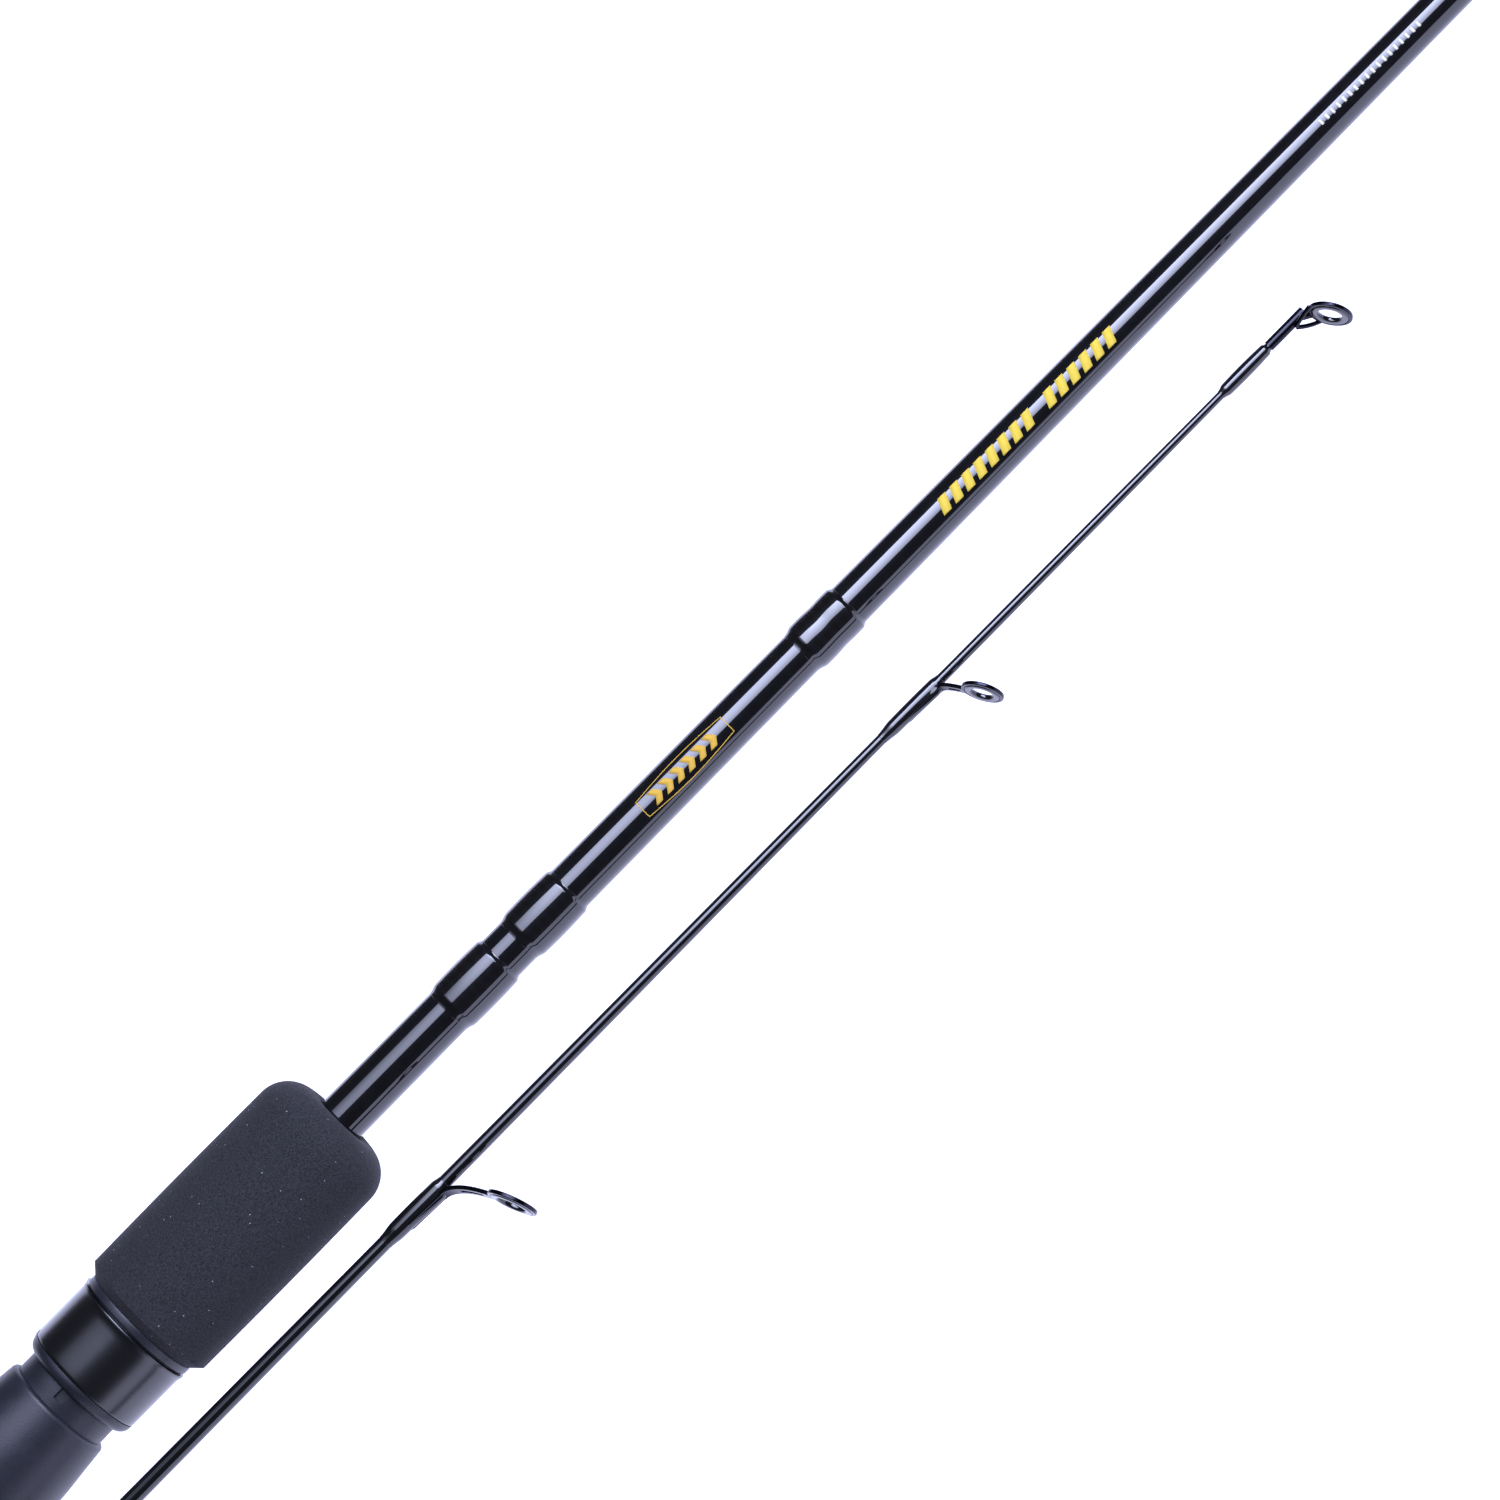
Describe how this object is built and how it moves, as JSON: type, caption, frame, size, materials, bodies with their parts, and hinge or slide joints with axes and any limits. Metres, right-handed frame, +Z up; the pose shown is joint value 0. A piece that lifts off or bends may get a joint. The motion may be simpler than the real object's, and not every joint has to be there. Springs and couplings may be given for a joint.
{
  "type": "spinning rod",
  "caption": "Two-section spinning rod with foam grips, a reel seat whose hood is driven by the turning foregrip, and single-foot line guides; the tip section lies beside the butt section.",
  "frame": {"origin": "centre of the butt cap's flat end face, on the butt section's axis", "axes": "+X along the rod towards its tip, +Z up as the rod lies, +Y to the side that the reel hangs on"},
  "size_m": [1.3291, 0.0779, 0.0271],
  "materials": {
    "carbon_blank": "gloss clear coat over black carbon fibre",
    "thread_epoxy": "thick gloss epoxy over black thread",
    "eva_foam": "matt closed-cell EVA foam, ground",
    "seat_plastic": "satin glass-filled nylon",
    "hood_gloss": "gloss black lacquer",
    "gunmetal_frame": "polished dark chrome",
    "ceramic_ring": "polished black ceramic",
    "trim_metal": "satin gunmetal anodising",
    "cap_rubber": "matt moulded rubber",
    "arbor_foam": "cut graphite-filled arbor"
  },
  "bodies": {
    "butt_section": {"butt_blank": "carbon_blank", "butt_cap": "cap_rubber", "rear_grip": "eva_foam", "grip_trim_ring": "trim_metal", "reel_seat_body": "seat_plastic", "seat_arbors": "arbor_foam", "wrap_rear": "thread_epoxy", "wrap_middle": "thread_epoxy", "wrap_front": "thread_epoxy", "ferrule_wrap_butt": "thread_epoxy", "stripper_guide_frame": "gunmetal_frame", "stripper_guide_ring": "ceramic_ring", "stripper_guide_wraps": "thread_epoxy"},
    "hood": {"sliding_hood": "seat_plastic", "hood_cover": "hood_gloss"},
    "locking_grip": {"lock_nut": "seat_plastic", "fore_grip": "eva_foam"},
    "tip_section": {"tip_blank": "carbon_blank", "ferrule_wrap_tip": "thread_epoxy", "tip_top_frame": "gunmetal_frame", "tip_top_ring": "ceramic_ring", "tip_top_wrap": "thread_epoxy", "guide_1_frame": "gunmetal_frame", "guide_1_ring": "ceramic_ring", "guide_1_wrap": "thread_epoxy", "guide_2_frame": "gunmetal_frame", "guide_2_ring": "ceramic_ring", "guide_2_wrap": "thread_epoxy", "guide_3_frame": "gunmetal_frame", "guide_3_ring": "ceramic_ring", "guide_3_wrap": "thread_epoxy", "guide_4_frame": "gunmetal_frame", "guide_4_ring": "ceramic_ring", "guide_4_wrap": "thread_epoxy", "guide_5_frame": "gunmetal_frame", "guide_5_ring": "ceramic_ring", "guide_5_wrap": "thread_epoxy"}
  },
  "joints": [
    {"name": "nut_turn", "type": "hinge", "parent": "hood", "child": "locking_grip", "pos_m": [0.27, 0, 0], "axis": [1, 0, 0], "range_deg": [-620, 1960]},
    {"name": "hood_slide", "type": "slide", "parent": "butt_section", "child": "hood", "axis": [1, 0, 0], "range_m": [-0.0036, 0.011]},
    {"name": "tip_section_slide", "type": "slide", "parent": "butt_section", "child": "tip_section", "axis": [1, 0, 0], "range_m": [0, 0.397]}
  ],
  "couplings": [
    {"joint": "hood_slide", "follows": "nut_turn", "m_per_rad": 0.00031831}
  ]
}
